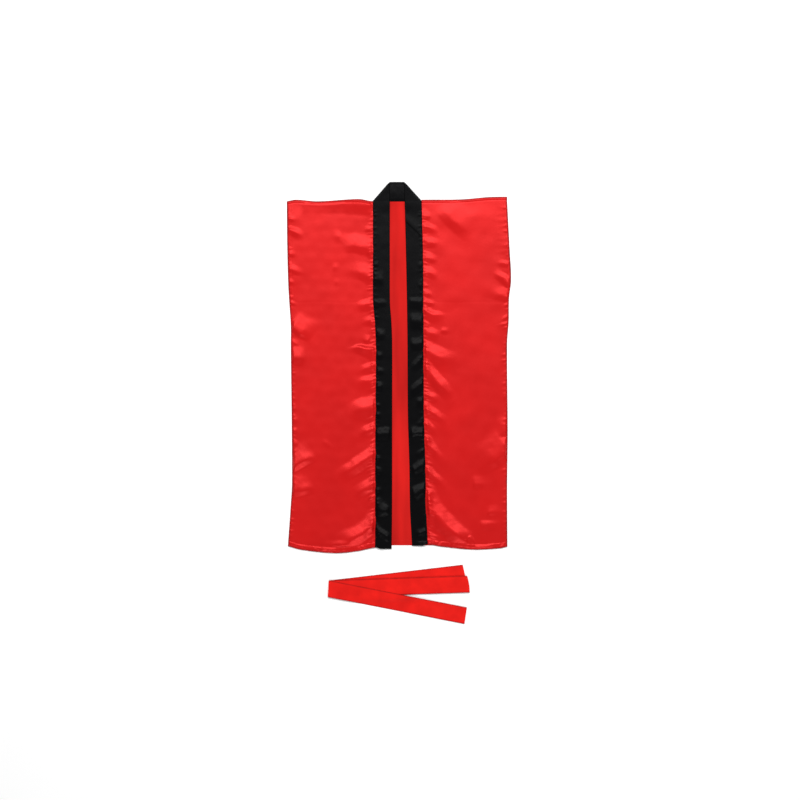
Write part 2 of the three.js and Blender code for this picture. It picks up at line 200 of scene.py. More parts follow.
def clothShell(name, under, over, material, underMaterial=None, rim=None):
    # a closed thin shell from two grids of points, rows by columns; the last argument is a mask of painted
    # shade, 1 along edges painted darker
    rows, columns = under.shape[:2]
    count = rows * columns
    points = np.concatenate([over.reshape(-1, 3), under.reshape(-1, 3)])
    k = (np.arange(rows - 1)[:, None] * columns + np.arange(columns - 1)[None, :]).ravel()
    top = np.stack([k, k + 1, k + columns + 1, k + columns], axis=1)
    low = top[:, ::-1] + count
    border = np.concatenate([
        np.arange(columns - 1),
        np.arange(rows - 1) * columns + columns - 1,
        (rows - 1) * columns + np.arange(columns - 1, 0, -1),
        np.arange(rows - 1, 0, -1) * columns,
    ])
    after = np.roll(border, -1)
    side = np.stack([after, border, border + count, after + count], axis=1)
    faces = np.concatenate([top, low, side])
    # the shell is turned over if its top faces down
    a, b, c = (points[top[0, i]] for i in range(3))
    if np.cross(b - a, c - a)[2] < 0:
        faces = faces[:, ::-1]
    materials = [material, underMaterial] if underMaterial else [material]
    marks = np.zeros(len(faces), dtype=np.int32)
    if underMaterial:
        marks[len(top):len(top) + len(low)] = 1
    shell = meshObject(name, points, faces, materials, marks)
    if rim is not None:
        # the mask of painted shade is kept on the mesh, for the finish to darken the colour there
        layer = shell.data.attributes.new("rim", "FLOAT", "POINT")
        layer.data.foreach_set("value", np.tile(np.broadcast_to(rim, (rows, columns)).ravel(), 2))
    return shell


def crease(lit, shade, lift, *crest, hold=0.3, end=0.06, spread=1.0, lead=None):
    # a pressed fold: the widths of its flanks towards the neck and towards the hem, its height, and
    # two or three places on its crest. It keeps its height up to the share "hold" of its length, then
    # falls to the share "end", "spread" times as wide; with "lead" it first rises over that length
    return {"lit": lit, "shade": shade, "lift": lift, "crest": crest,
            "hold": hold, "end": end, "spread": spread, "lead": lead}


def foldPath(fold, count=40):
    # a smooth path through a start, a middle and an end
    points = np.array(fold["crest"], float)
    if len(points) == 2:
        points = np.array([points[0], points.mean(axis=0), points[1]])
    start, middle, end = points
    control = 2 * middle - (start + end) / 2
    t = np.linspace(0, 1, count)[:, None]
    return (1 - t) ** 2 * start + 2 * t * (1 - t) * control + t * t * end


def flank(q, crest=0.22, foot=0.72):
    # a pressed fold's profile: round at the crest, an even slope, and a soft foot at 1
    q = np.minimum(q, 1.0)
    slope = q - crest / 2
    softened = slope - (q - foot) ** 2 / (2 * (1 - foot))
    fall = np.where(q < crest, q * q / (2 * crest), np.where(q < foot, slope, softened))
    return 1 - fall / ((1 + foot - crest) / 2)


def addFold(height, across, down, fold):
    path = foldPath(fold)
    lit, shade = fold["lit"], fold["shade"]
    reach = 1.1 * max(lit, shade) + 4
    near = ((across > path[:, 0].min() - reach) & (across < path[:, 0].max() + reach)
            & (down > path[:, 1].min() - reach) & (down < path[:, 1].max() + reach))
    spots = np.nonzero(near)
    if not len(spots[0]):
        return
    here = np.stack([across[spots], down[spots]], axis=1)
    run = np.gradient(path, axis=0)
    pace = np.linalg.norm(run, axis=1)
    run /= pace[:, None]
    aside = np.stack([run[:, 1], -run[:, 0]], axis=1)
    aside *= np.where(aside[:, 1:2] > 0, -1.0, 1.0)
    away = ((here[:, None, :] - path[None, :, :]) ** 2).sum(axis=2)
    k = away.argmin(axis=1)
    offset = here - path[k]
    s = (offset * aside[k]).sum(axis=1)
    along = (offset * run[k]).sum(axis=1)
    length = pace.sum()
    u = k / (len(path) - 1) + along / length
    beyond = np.maximum(0, np.maximum(-u, u - 1)) * length
    u = clamp(u)
    widen = mix(1.0, fold["spread"], u)
    shape = flank(np.abs(s) / (np.where(s > 0, lit, shade) * widen))
    rise = ease((u * length + 1e-6) / fold["lead"]) if fold["lead"] else 1.0
    hold = 0.8 * fold["hold"]
    fade = 1 - ease((u - hold) / (1 - hold))
    ends = np.exp(-(beyond / (0.45 * min(lit, shade) + 2)) ** 2)
    height[spots] += fold["lift"] * shape * rise * mix(fold["end"], 1.0, fade) * ends


# The main creases of each front, from the collar or the side into the cloth.
fronts = {"right": {"seed": 11, "folds": [
    crease(9, 42, 5.4, (66, 10), (120, 5), (262, 9), hold=0.35, end=0.3, spread=0.75),
    crease(9, 6, 1.5, (172, 976), (214, 974), (262, 971), lead=14),
    crease(38, 25, 3.7, (74, 139), (112, 124), (162, 127), hold=0.75),
    crease(34, 25, 3.1, (76, 214), (104, 200), (140, 203), hold=0.5),
    crease(14, 10, 1.7, (74, 80), (94, 81)),
    crease(24, 22, 1.6, (156, 97), (188, 104), lead=12),
    crease(16, 16, 0.9, (186, 184), (158, 186), lead=10),
    crease(14, 14, 0.7, (182, 224), (160, 228), lead=10),
    crease(16, 23, 3.0, (66, 294), (92, 290), (118, 297), hold=0.5),
    crease(16, 16, 2.5, (66, 341), (86, 337), (108, 343)),
    crease(18, 10, 1.8, (78, 390), (101, 384), lead=6),
    crease(17, 36, 4.2, (64, 419), (98, 411), (133, 415), hold=0.6, spread=0.4),
    crease(18, 15, 2.6, (66, 463), (90, 471), (110, 477)),
    crease(15, 38, 3.4, (64, 498), (90, 503), (118, 500), hold=0.45),
    crease(37, 38, 5.6, (62, 578), (96, 583), (144, 606), hold=0.6),
    crease(22, 18, 3.2, (66, 640), (84, 645), (107, 661), hold=0.6),
    crease(26, 30, 5.0, (64, 706), (108, 734), (170, 778), hold=0.7),
    crease(25, 22, 4.2, (64, 792), (92, 806), (130, 829), hold=0.5),
    crease(12, 9, 1.9, (64, 826), (87, 833)),
    crease(36, 28, 6.0, (64, 900), (104, 932), (186, 972), hold=0.7),
    crease(11, 12, 0.7, (214, 664), (180, 698), lead=20),
    crease(12, 11, 2.0, (309, 49), (286, 50)),
    crease(14, 16, 3.0, (310, 82), (288, 87), (264, 107), hold=0.6),
    crease(14, 10, 1.9, (309, 146), (284, 150)),
    crease(16, 12, 2.4, (309, 193), (286, 195), (260, 203)),
    crease(10, 8, 1.5, (309, 225), (288, 228)),
    crease(8, 10, 1.7, (307, 268), (292, 274)),
    crease(8, 8, 1.8, (305, 283), (282, 291)),
    crease(58, 16, 5.0, (292, 357), (268, 370), (242, 387), hold=0.55),
    crease(14, 8, 1.4, (298, 396), (274, 402)),
    crease(42, 28, 4.6, (299, 436), (254, 442), hold=0.5),
    crease(12, 8, 1.4, (299, 580), (282, 583)),
    crease(12, 10, 1.9, (298, 609), (278, 615)),
    crease(12, 9, 2.2, (298, 641), (280, 646)),
    crease(12, 15, 2.0, (297, 676), (277, 684)),
    crease(56, 22, 5.6, (296, 743), (262, 726), (230, 706), hold=0.55),
    crease(46, 24, 4.0, (297, 808), (262, 806), (232, 795), hold=0.5),
    crease(16, 8, 1.8, (130, 965), (175, 963), (236, 962), lead=20),
]}, "left": {"seed": 23, "folds": [
    crease(62, 33, 4.6, (120, 10), (158, 52), (216, 98), lead=50, hold=0.7),
    crease(14, 12, 2.2, (74, 40), (97, 43)),
    crease(14, 16, 2.8, (72, 72), (90, 74), (112, 93), hold=0.5),
    crease(20, 15, 2.8, (74, 115), (92, 119), (118, 124), hold=0.5),
    crease(20, 14, 2.8, (74, 160), (90, 161), (114, 170), hold=0.5),
    crease(20, 16, 2.8, (74, 201), (90, 203), (112, 216), hold=0.5),
    crease(12, 10, 1.7, (74, 257), (98, 263)),
    crease(13, 12, 2.2, (74, 285), (106, 289)),
    crease(14, 35, 3.8, (74, 301), (96, 315), (140, 323), hold=0.6),
    crease(10, 10, 1.6, (74, 342), (96, 351)),
    crease(21, 24, 3.2, (76, 362), (96, 373), (122, 379), hold=0.45),
    crease(12, 12, 1.2, (118, 362), (148, 364), lead=8),
    crease(33, 38, 5.0, (76, 417), (110, 434), (164, 454), hold=0.6),
    crease(24, 24, 4.6, (74, 462), (108, 503), (152, 556), hold=0.75),
    crease(18, 13, 2.7, (76, 546), (94, 552), (114, 563), hold=0.5),
    crease(20, 16, 3.6, (74, 574), (100, 597), (140, 624), hold=0.5),
    crease(15, 12, 2.6, (76, 622), (90, 638), (106, 654)),
    crease(19, 16, 3.5, (76, 668), (98, 698), (126, 731), hold=0.5),
    crease(19, 17, 3.4, (76, 750), (100, 772), (136, 809), hold=0.5),
    crease(37, 36, 7.0, (78, 826), (124, 898), (206, 962), hold=0.95),
    crease(9, 6, 1.4, (186, 970), (236, 970), (296, 967), lead=14, hold=0.6),
    crease(8, 7, 1.5, (84, 934), (104, 941), (124, 950)),
    crease(6, 6, 1.1, (84, 946), (102, 953), (116, 957)),
    crease(8, 8, 2.0, (196, 940), (206, 952), (212, 968), lead=5, hold=0.7),
    crease(6, 6, 1.4, (186, 946), (192, 966), lead=5),
    crease(15, 15, 2.8, (314, 235), (292, 214), (266, 197), hold=0.7),
    crease(32, 18, 2.6, (306, 269), (280, 262), (252, 256)),
    crease(13, 13, 1.4, (304, 177), (274, 172)),
    crease(8, 9, 1.7, (312, 289), (297, 296)),
    crease(8, 8, 1.8, (312, 320), (288, 335)),
    crease(9, 8, 2.1, (312, 339), (281, 351)),
    crease(6, 8, 1.5, (312, 353), (290, 357)),
    crease(9, 20, 1.8, (310, 544), (294, 550)),
    crease(52, 14, 2.8, (309, 640), (278, 652)),
    crease(72, 30, 4.4, (308, 690), (270, 722), (222, 748), hold=0.6),
    crease(30, 20, 2.0, (206, 795), (252, 790), lead=12),
    crease(24, 14, 1.7, (248, 871), (302, 872), lead=10),
    crease(12, 24, 1.5, (226, 905), (300, 902), lead=12),
]}}


def smallPuckers(side, seed):
    # fine gathers along the stitched edges, uneven in length, depth and spacing
    rng = np.random.default_rng(seed)
    found = []
    down = 24.0
    while down < 955:
        lower = down / 960
        seam = float(seamEdge(side, down))
        long = rng.uniform(8, 20) * (1 + 0.5 * lower)
        slant = rng.uniform(-2, 5) + 10 * lower * rng.uniform(0.4, 1.3)
        lift, lit, shade = rng.uniform(0.8, 2.0), rng.uniform(4.2, 7.0), rng.uniform(3.6, 6.0)
        found.append(crease(lit, shade, lift, (seam - 1, down), (seam + long, down + slant), hold=0.2))
        down += rng.uniform(6, 14)
    down = 20.0
    while down < 950:
        edge = float(sideEdge(side, down))
        long, slant = rng.uniform(7, 20), rng.uniform(-4, 7)
        lift, lit, shade = rng.uniform(0.5, 1.6), rng.uniform(4.5, 8.0), rng.uniform(4.0, 7.0)
        found.append(crease(lit, shade, lift, (edge + 1, down), (edge - long, down + slant), hold=0.2))
        down += rng.uniform(9, 26)
    return found


frontCloth = {
    "width": 238,       # seam to side, for the spacing of its points
    "lowerFolds": 1.45,  # how much fuller the folds are at the hem
    "swell": 1.2,       # a front stands off the back between its seams
    "armholeLift": 1.4,  # along the open side edge
    "edgeRoll": 5.0,    # width of the rolled side and shoulder edges
    "rim": 6.5,         # width of the painted shade along the side, shoulder and hem edges
    "hemPuff": 0.7,     # the folded hem over the single cloth
    "hemGather": 1.1,
    "stitchDip": 0.6,
    "sideRidge": 0.4,   # the turned side edge of the armhole, and the dip of its stitches
    "insideCollar": 8,  # seam allowance that goes into the collar
    "pressedLine": 174,  # an old fold down the cloth, and one across it
    "crossLine": 283,
}


def ridgeLine(distance, at, width):
    return np.exp(-((distance - at) / width) ** 2)


def alongOnly(place, size, seed):
    # a random wave in one direction
    return wander(place, place * 0, size, seed)


def frontHeight(side, across, down):
    # the underside of a front; across is outward from the centre line
    c = frontCloth
    seed = fronts[side]["seed"]
    flat = sign[side] * across
    fromSeam = across - seamEdge(side, down)
    fromSide = sideEdge(side, down) - across
    fromShoulder = down - shoulderDown(flat)
    fromHem = hemDown(flat) - down
    lifted = np.zeros(across.shape)
    bentAcross = across + 2.0 * wander(across, down, 90, seed + 5)
    bentDown = down + 2.6 * wander(across, down, 75, seed + 6)
    for fold in fronts[side]["folds"]:
        addFold(lifted, bentAcross, bentDown, fold)
    for fold in smallPuckers(side, seed):
        addFold(lifted, across, down, fold)
    lifted *= mix(1.0, c["lowerFolds"], down / coat["backHem"])
    # the folds die away at every edge
    held = mix(0.35, 1.0, ease((fromSeam - 1) / 9)) * ease((fromSeam + 3) / 4) * ease(fromSide / 9)
    held = held * ease((fromHem - 1) / 9) * ease((fromShoulder - 1) / 9)
    broad = c["swell"] * ease(fromSeam / 40) * ease(fromSide / 50) * ease(fromShoulder / 60)
    broad = broad * ease(fromHem / 60) * (1 + 0.45 * wander(across, down, 260, seed + 1))
    drift = 0.3 * wander(across, down, 85, seed + 2, 2) * ease(fromSeam / 20) * ease(fromSide / 20)
    overCollar = coat["layer"] * (1 - ease((fromSeam - 6) / 18)) * ease((down - 22) / 14)
    openEdge = ease((coat["armhole"] - down) / 40) * ease(fromShoulder / 60) * (1 - ease(fromSide / 50))
    openEdge *= c["armholeLift"] * (1 + 0.5 * alongOnly(down, 90, seed + 3))
    # hems, seams and their stitches
    hemBand = c["hemPuff"] * ease((coat["hem"] - fromHem) / 1.2)
    hemBand -= c["stitchDip"] * ridgeLine(fromHem, coat["hem"], 1.2)
    gather = wander(across, fromHem * 0.8, 24, seed + 4) * ease((24 - fromHem) / 12) * ease(fromHem / 3)
    hemBand += c["hemGather"] * gather
    sideBand = ease((coat["sideHem"] - fromSide) / 1.2) - ridgeLine(fromSide, coat["sideHem"], 1.1)
    sideBand = sideBand * c["sideRidge"] * ease((coat["armhole"] - down) / 4)
    shoulderSeam = -0.45 * ridgeLine(fromShoulder, 8, 1.3) + 0.35 * ease((8 - fromShoulder) / 1.5)
    # the lines of the cloth's old folds
    pressed = -0.22 * ridgeLine(across, c["pressedLine"] + 2 * alongOnly(down, 160, 5), 1.6)
    pressed = pressed * (0.5 + 0.5 * alongOnly(down, 60, 6))
    pressed = pressed - 0.10 * ridgeLine(down, c["crossLine"] + 2 * alongOnly(across, 160, 7), 1.8)
    height = coat["layer"] + overCollar + broad + drift + held * lifted + openEdge
    height = height + (hemBand + sideBand + shoulderSeam + pressed * held) * ease((fromSeam + 2) / 4)
    roll = np.minimum(fromSide, fromShoulder) / c["edgeRoll"]
    rolled = np.sqrt(1 - (1 - clamp(roll)) ** 2)
    return mix(0.12, np.maximum(height, 0.9), rolled)


def frontPanel(side, material):
    c = frontCloth
    inside = c["insideCollar"]
    places = spaced([(-inside, 2.2), (0, 1.5), (50, 1.9), (90, 3.2), (190, 3.4), (225, 1.9),
                     (234, 0.8), (c["width"], 0.45)])
    levels = spaced([(0, 0.45), (4, 0.9), (12, 1.6), (30, 2.2), (940, 2.3), (955, 1.2),
                     (coat["backHem"], 0.9)])
    level = levels[:, None]
    place = places[None, :]
    insideNeck = ease((level - 36) / 12)
    seam = seamEdge(side, level)
    inner = np.where(place < 0, np.maximum(place, -inside * insideNeck), 0)
    across = seam + inner + np.maximum(place, 0) / c["width"] * (sideEdge(side, level) - seam)
    across = across + 0.02 * (place < 0) * place * (1 - insideNeck)
    flat = sign[side] * across
    down = mix(shoulderDown(flat), hemDown(flat), level / coat["backHem"])
    height = frontHeight(side, across, down)
    under = toWorld(flat, down, height)
    over = offSurface(under, coat["ply"] * mm)
    # a mask of painted shade: darker towards the side, shoulder and hem edges, a little uneven
    edge = np.minimum(sideEdge(side, down) - across, down - shoulderDown(flat))
    edge = np.minimum(edge, hemDown(flat) - down)
    uneven = 0.75 + 0.25 * wander(across, down, 60, fronts[side]["seed"] + 8)
    rim = clamp((1 - ease(edge / c["rim"])) * uneven)
    return clothShell(f"front_{side}_cloth", under, over, material, rim=rim), (across, down, over)


backCloth = {
    "inset": 1.6,       # inside the fronts' rolled edges
    "valley": 1.6,      # hollow along the opening
    "waves": 0.35,
    "neckEdge": -6.5,   # goes in under the collar
    # shallow, because the fronts lie on them
    "creases": [
        crease(20, 15, 0.45, (-300, 168), (-262, 180), (-214, 214), hold=0.5),
        crease(12, 10, 0.35, (-296, 262), (-270, 268)),
        crease(26, 16, 0.45, (-294, 372), (-240, 392), hold=0.6),
        crease(22, 18, 0.45, (-292, 590), (-240, 628), (-176, 650), hold=0.7),
        crease(11, 9, 0.3, (-292, 716), (-262, 722)),
        crease(28, 20, 0.45, (-300, 858), (-236, 870), (-146, 902), hold=0.6),
        crease(24, 17, 0.45, (300, 232), (258, 212), (206, 204), hold=0.5),
        crease(11, 10, 0.35, (302, 322), (276, 336)),
        crease(22, 18, 0.45, (298, 466), (238, 494), hold=0.6),
        crease(26, 18, 0.45, (298, 690), (236, 738), (160, 766), hold=0.6),
        crease(12, 9, 0.3, (298, 806), (268, 812)),
        crease(20, 15, 0.4, (296, 902), (216, 920), hold=0.5),
    ],
}


def backPanel(outer, inner):
    c = backCloth
    rightSide = sideEdge("right", 0)
    leftSide = sideEdge("left", 0)
    places = spaced([(-rightSide, 7), (-110, 7), (-76, 2.6), (92, 2.6), (120, 7), (leftSide, 7)])
    levels = spaced([(0, 2), (10, 1.2), (30, 3.4), (930, 3.4), (945, 1.2), (coat["backHem"], 0.9)])
    level = levels[:, None]
    place = places[None, :]
    wide = np.where(place < 0, (sideEdge("right", level) - c["inset"]) / rightSide,
                    (sideEdge("left", level) - c["inset"]) / leftSide)
    across = place * np.where(np.abs(place) > 100, wide, 1.0)
    inNeck = ease((across + 66) / 8) * ease((62 - across) / 8)
    topEdge = mix(shoulderDown(across) + c["inset"], c["neckEdge"], inNeck)
    down = mix(topEdge, coat["backHem"], level / coat["backHem"])
    fromHem = coat["backHem"] - down
    right = -foldEdge("right", down)
    left = foldEdge("left", down)
    middle = (right + left) / 2
    opening = ease((across - right + 14) / 10) * ease((left + 14 - across) / 10)
    height = np.zeros(across.shape) + coat["layer"] * inNeck * (1 - ease((down - 3) / 14))
    for fold in c["creases"]:
        addFold(height, across, down, fold)
    slope = (across - middle) / 24
    form = c["valley"] * (slope ** 2 * 0.35 + 0.25 + 0.3 * slope)
    form = form + c["waves"] * (1 + wander(across, down * 0.35, 44, 31))
    height = height + form * opening * ease((down - 6) / 30) * ease((fromHem - 2) / 40)
    hemBand = 0.5 * ease((coat["hem"] - fromHem) / 1.2) - 0.4 * ridgeLine(fromHem, coat["hem"], 1.1)
    hemBand = hemBand * opening * ease(fromHem / 1.5)
    under = toWorld(across, down, height)
    over = toWorld(across, down, height + coat["ply"] + np.maximum(hemBand, -0.3))
    return clothShell("back_cloth", under, over, inner, outer), (across, down, over)


band = {
    "ply": 0.5,
    "end": {"right": 974, "left": 965.5},
    "lap": (102, 56),   # where the left band's upper end laps over, at its seam and at its fold
    "lapHeight": 0.9,
    "neckRise": 3.2,    # behind the neck, from the seam to the fold
    "top": 3.1,         # height of the upper ply over the lower one, at the seam
    "puff": 0.5,
    "foldTop": 1.75,    # and near the folded edge
    "foldRadius": 0.85,
    "stitch": 2.2,      # from the seam edge
    "corner": 4.5,
    "rim": 3.4,         # width of the painted shade along the band's edges
}


def collarUnderside(down):
    # a front stretch rests on the back, and near the neck it climbs onto the neck stretch
    onNeck = ease((40 - down) / 38)
    neckHeight = mix(6.0, 3.8, clamp((down + coat["neckRise"]) / coat["neckRise"]))
    return mix(coat["layer"], neckHeight, onNeck)


def bandSection(width, closed, thick, ripple):
    # the cloth's middle line across a folded band: from the seam over the top, round the fold
    # and back underneath. Rows by points of (distance from the seam edge, height)
    across = np.concatenate([[0, 0.03], np.linspace(0.06, 0.94, 26), [0.965, 0.985]])
    w = width[:, None]
    u = across[None, :] * w
    # near the seam the cloth turns under; where the band is folded over it closes
    fromFold = w - u
    r = band["foldRadius"]
    top = mix(band["foldTop"], band["top"], ease((fromFold - 4) / 30))
    top = top + band["puff"] * ease((u - 1) / 7) * ease((fromFold - 2) / 12)
    top = top - 0.35 * np.exp(-((u - band["stitch"]) / 0.9) ** 2) * (1 - closed[:, None])
    top = top * thick[:, None] + ripple(u, w)
    edge = mix(mix(0.72, 1.0, ease(u / 2.2)), np.sqrt(1 - (1 - clamp(u / 2.4)) ** 2), closed[:, None])
    foldDrop = np.sqrt(1 - (1 - clamp(fromFold / (2 * r))) ** 2)
    top = top * edge * mix(0.55, 1.0, foldDrop)
    low = np.linspace(1, 0, 9)[None, :] * (w - 2 * r)
    turnAngle = np.linspace(math.pi / 2, -math.pi / 2, 7)[1:-1][None, :]
    endTop = top[:, -1:]
    turnU = w - r + (r * 0.9) * np.cos(turnAngle)
    turnZ = endTop / 2 + endTop / 2 * np.sin(turnAngle)
    return (np.concatenate([u, turnU, low + r], axis=1),
            np.concatenate([top, turnZ, 0 * low], axis=1))


def ribbonShell(name, middle, offset, material, rim):
    # a folded strip has faces looking every way, so its outside is worked out from its volume
    shell = clothShell(name, middle - offset, middle + offset, material, rim=rim)
    mesh = shell.data
    mesh.calc_loop_triangles()
    points = np.zeros(len(mesh.vertices) * 3)
    mesh.vertices.foreach_get("co", points)
    corners = np.zeros(len(mesh.loop_triangles) * 3, dtype=np.int32)
    mesh.loop_triangles.foreach_get("vertices", corners)
    a, b, c = (points.reshape(-1, 3)[corners.reshape(-1, 3)[:, i]] for i in range(3))
    if (a * np.cross(b, c)).sum() < 0:
        mesh.flip_normals()
    return shell


collarFolds = {"right": [
    crease(12, 10, 1.0, (64, 176), (52, 178)),
    crease(28, 26, 1.8, (64, 217), (36, 218), hold=0.6),
    crease(14, 14, 1.5, (64, 286), (28, 286), hold=0.6),
    crease(19, 20, 2.2, (62, 372), (32, 376), hold=0.6),
    crease(15, 14, 2.0, (62, 431), (40, 434), hold=0.5),
    crease(12, 11, 1.8, (62, 476), (36, 478), hold=0.5),
    crease(20, 14, 2.4, (62, 521), (38, 521), hold=0.5),
    crease(12, 9, 1.5, (62, 574), (46, 577)),
    crease(11, 10, 1.4, (62, 598), (46, 602)),
    crease(23, 24, 3.2, (64, 652), (14, 652), hold=0.9),
    crease(12, 10, 1.6, (62, 720), (44, 722)),
    crease(17, 12, 2.0, (62, 757), (40, 759)),
    crease(15, 12, 1.9, (62, 810), (42, 812)),
    crease(27, 24, 4.2, (64, 848), (44, 866), (18, 852), hold=0.8),
    crease(19, 16, 3.4, (64, 918), (40, 936), (16, 952), hold=0.8),
], "left": [
    crease(14, 11, 1.3, (70, 180), (52, 182)),
    crease(16, 11, 1.4, (70, 234), (52, 238)),
    crease(16, 24, 1.8, (70, 283), (26, 281), hold=0.9),
    crease(27, 28, 2.4, (70, 338), (28, 336), hold=0.8),
    crease(20, 24, 2.5, (70, 400), (30, 401), hold=0.8),
    crease(16, 14, 2.2, (70, 438), (54, 456), (36, 480), hold=0.7),
    crease(18, 16, 2.6, (72, 508), (52, 524), (32, 546), hold=0.7),
    crease(14, 16, 2.0, (72, 561), (48, 564), hold=0.5),
    crease(12, 10, 1.6, (72, 614), (48, 634)),
    crease(24, 10, 3.4, (74, 651), (30, 651), hold=0.95),
    crease(11, 10, 1.6, (74, 700), (46, 714)),
    crease(21, 20, 3.6, (76, 736), (56, 748), (34, 764), hold=0.8),
    crease(25, 26, 4.2, (78, 806), (54, 817), (34, 828), hold=0.8),
    crease(19, 14, 2.6, (78, 926), (46, 936), hold=0.5),
    crease(8, 6, 1.2, (82, 957), (44, 956), hold=0.6),
]}


def collarGathers(side, seed):
    # short gathers along the collar's seam edge
    rng = np.random.default_rng(seed)
    found = []
    down = 30.0
    while down < 950:
        seam = float(seamEdge(side, down))
        long, slant = rng.uniform(7, 16), rng.uniform(-2, 3)
        lit, shade, lift = rng.uniform(4, 7), rng.uniform(4, 6), rng.uniform(0.3, 1.0)
        found.append(crease(lit, shade, lift, (seam + 1, down), (seam - long, down + slant)))
        down += rng.uniform(8, 18)
    return found


def collarFront(side, seed, material):
    rise = coat["neckRise"]
    end = band["end"][side]
    downs = spaced([(3.5 - rise, 1.2), (0, 1.6), (30, 2.2), (940, 2.3), (end, 1.2)])
    down = downs[:, None]
    neckShare = clamp(-downs / rise)
    neckTop = coat["neckTop"][side]
    seam = np.where(downs < 0, mix(seamEdge(side, 0), neckTop, neckShare), seamEdge(side, downs))
    fold = np.where(downs < 0, mix(foldEdge(side, 0), neckTop - 1.0, neckShare), foldEdge(side, downs))
    seam = seam + 0.35 * alongOnly(downs, 26, seed) * ease((downs - 10) / 20)
    width = seam - fold
    closed = ease((4 - downs) / 8)
    thick = mix(1.0, 0.62, ease((40 - downs) / 38))

    def belowLap(u, w):
        # how far a place is below the slanting end of the upper length
        return down - mix(*band["lap"], clamp(u / w))

    def ripple(u, w):
        wave = 0.18 * wander(u, down + 0 * u, 90, seed + 1) * ease(u / 6)
        fine = np.zeros(u.shape)
        place = seam[:, None] - u
        bent = down + 2.4 * wander(place, down + 0 * u, 40, seed + 4)
        for fold in collarFolds[side] + collarGathers(side, seed + 2):
            addFold(fine, place, bent, fold)
        fine *= mix(1.0, 1.3, down / coat["backHem"]) * mix(0.25, 1.0, ease(u / 7)) * ease((w - u) / 12)
        if side == "left":
            line = belowLap(u, w)
            fine = fine + band["lapHeight"] * ease((line + 36) / 30) * (1 - ease((line + 1.4) / 2.8))
        return wave + fine

    u, z = bandSection(width, closed, thick, ripple)
    across = seam[:, None] - u
    height = z + collarUnderside(down) + band["ply"] / 2
    # the lower end is a little shorter at its seam edge
    cut = down - band["corner"] * (1 - ease(u / 16)) * ease((down - end + 20) / 20)
    middle = toWorld(sign[side] * across, cut, height)
    # painted shade along both edges of the band; on the left also a painted shadow line where the upper
    # length laps over
    rim = bandPaintedShade(u, width)
    if side == "left":
        rim = np.maximum(rim, ridgeLine(belowLap(u, width[:, None]), 0, 1.5))
    offset = gridNormals(middle) * (band["ply"] * mm) / 2
    return ribbonShell(f"collar_{side}_band", middle, offset, material, rim), (across, downs, middle)


def bandPaintedShade(u, width):
    # painted shade, 1 at both edges of the band, gone at this width inwards
    return 1 - ease(np.minimum(u, width[:, None] - u) / band["rim"])


def collarNeck(seed, material):
    # stations run from the wearer's right to the left, and the section from the seam up to the fold
    rise = coat["neckRise"]
    lowEdge = 1.6
    count = 70
    t = np.linspace(0, 1, count)[:, None]
    width = np.full(count, lowEdge + rise)

    def ripple(u, w):
        # the band rises a little away from its seam
        return 0.15 * wander(u, t * 130 + 0 * u, 40, seed) + band["neckRise"] * u / w

    u, z = bandSection(width, np.zeros(count), np.full(count, 0.86), ripple)
    down = lowEdge - u
    share = clamp(-down / rise)
    right = -mix(seamEdge("right", 0), coat["neckTop"]["right"], share) + 0.8
    left = mix(seamEdge("left", 0), coat["neckTop"]["left"], share) - 0.8
    middle = toWorld(mix(right, left, t), down, z + band["ply"] / 2)
    offset = gridNormals(middle) * (band["ply"] * mm) / 2
    return ribbonShell("collar_neck_band", middle, offset, material, bandPaintedShade(u, width))


belt = {
    # edges across the strip, each from its high corner to its low one
    "edges": {
        "turn": ((-193.5, 1062.3), (-196.6, 1109.1)),
        "underEnd": ((181.2, 1018.4), (191.6, 1064.4)),
        "middleEnd": ((200.6, 1049.4), (201, 1096.2)),
        "topEnd": ((192.9, 1137.9), (185.9, 1184.4)),
    },
    "cornerRounding": 7,
    "bulge": 1.6,       # of the middle stretch's turn
    "wall": 0.9,
    "layer": 1.3,
    # width of the painted shade along the belt's edges
    "rim": 3.4,
    "length": 1.57,
    "width": 0.047,
}


